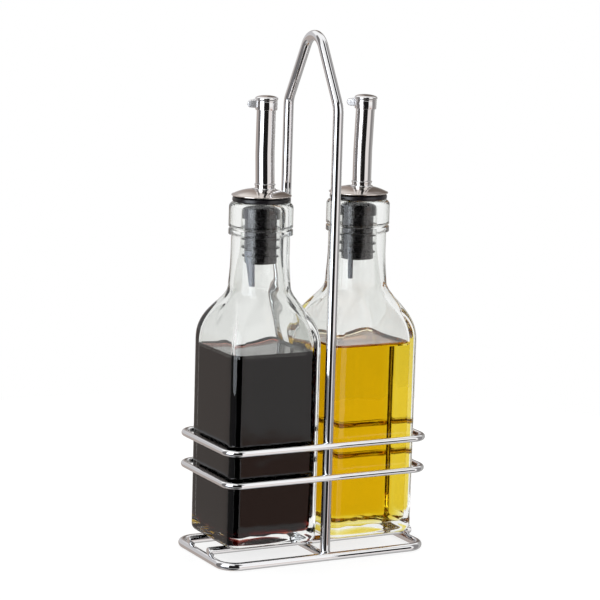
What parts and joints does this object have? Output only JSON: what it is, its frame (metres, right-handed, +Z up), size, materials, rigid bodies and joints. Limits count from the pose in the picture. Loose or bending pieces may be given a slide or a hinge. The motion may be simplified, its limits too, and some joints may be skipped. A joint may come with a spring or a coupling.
{
  "type": "cruet set",
  "caption": "Chromed wire rack with a carrying handle that holds square glass bottles of vinegar and oil, each with a pull-out pourer that has a hinged cap.",
  "frame": {"origin": "on the table, under the middle of the rack", "axes": "+Z up, +X along the row of bottles towards the oil, -Y the front"},
  "size_m": [0.114, 0.0608, 0.2566],
  "materials": {
    "wire_chrome": "bright chrome plating",
    "bottle_glass": "clear, smooth",
    "vinegar_liquid": "dark liquid",
    "oil_liquid": "clear yellow liquid",
    "stopper_plastic": "satin moulded",
    "vent_plastic": "satin translucent tube",
    "dome_steel": "polished",
    "spout_chrome": "polished"
  },
  "bodies": {
    "rack": {"base_frame": "wire_chrome", "cross_rod": "wire_chrome", "front_rail": "wire_chrome", "back_rail": "wire_chrome", "lower_ring": "wire_chrome", "upper_ring": "wire_chrome", "handle": "wire_chrome"},
    "vinegar_bottle": {"vinegar_bottle": "bottle_glass", "vinegar_fill": "vinegar_liquid"},
    "vinegar_pourer": {"vinegar_stopper": "stopper_plastic", "vinegar_vent_tube": "vent_plastic", "vinegar_pourer_dome": "dome_steel", "vinegar_ferrule": "spout_chrome", "vinegar_spout_tube": "spout_chrome", "vinegar_spout_head": "spout_chrome", "vinegar_hinge_pin": "spout_chrome"},
    "vinegar_cap": {"vinegar_flip_cap": "spout_chrome"},
    "oil_bottle": {"oil_bottle": "bottle_glass", "oil_fill": "oil_liquid"},
    "oil_pourer": {"oil_stopper": "stopper_plastic", "oil_vent_tube": "vent_plastic", "oil_pourer_dome": "dome_steel", "oil_ferrule": "spout_chrome", "oil_spout_tube": "spout_chrome", "oil_spout_head": "spout_chrome", "oil_hinge_pin": "spout_chrome"},
    "oil_cap": {"oil_flip_cap": "spout_chrome"}
  },
  "joints": [
    {"name": "vinegar_lift", "type": "slide", "parent": "rack", "child": "vinegar_bottle", "axis": [0, 0, 1], "range_m": [0, 0.07]},
    {"name": "vinegar_pull", "type": "slide", "parent": "vinegar_bottle", "child": "vinegar_pourer", "axis": [0, 0, 1], "range_m": [0, 0.045]},
    {"name": "vinegar_flip", "type": "hinge", "parent": "vinegar_pourer", "child": "vinegar_cap", "pos_m": [-0.03205, 0.00283, 0.22134], "axis": [-0.4679, -0.8838, 0], "range_deg": [0, 110]},
    {"name": "oil_lift", "type": "slide", "parent": "rack", "child": "oil_bottle", "axis": [0, 0, 1], "range_m": [0, 0.07]},
    {"name": "oil_pull", "type": "slide", "parent": "oil_bottle", "child": "oil_pourer", "axis": [0, 0, 1], "range_m": [0, 0.045]},
    {"name": "oil_flip", "type": "hinge", "parent": "oil_pourer", "child": "oil_cap", "pos_m": [0.02332, 0.00376, 0.22153], "axis": [-0.7431, -0.6691, 0], "range_deg": [0, 110]}
  ]
}
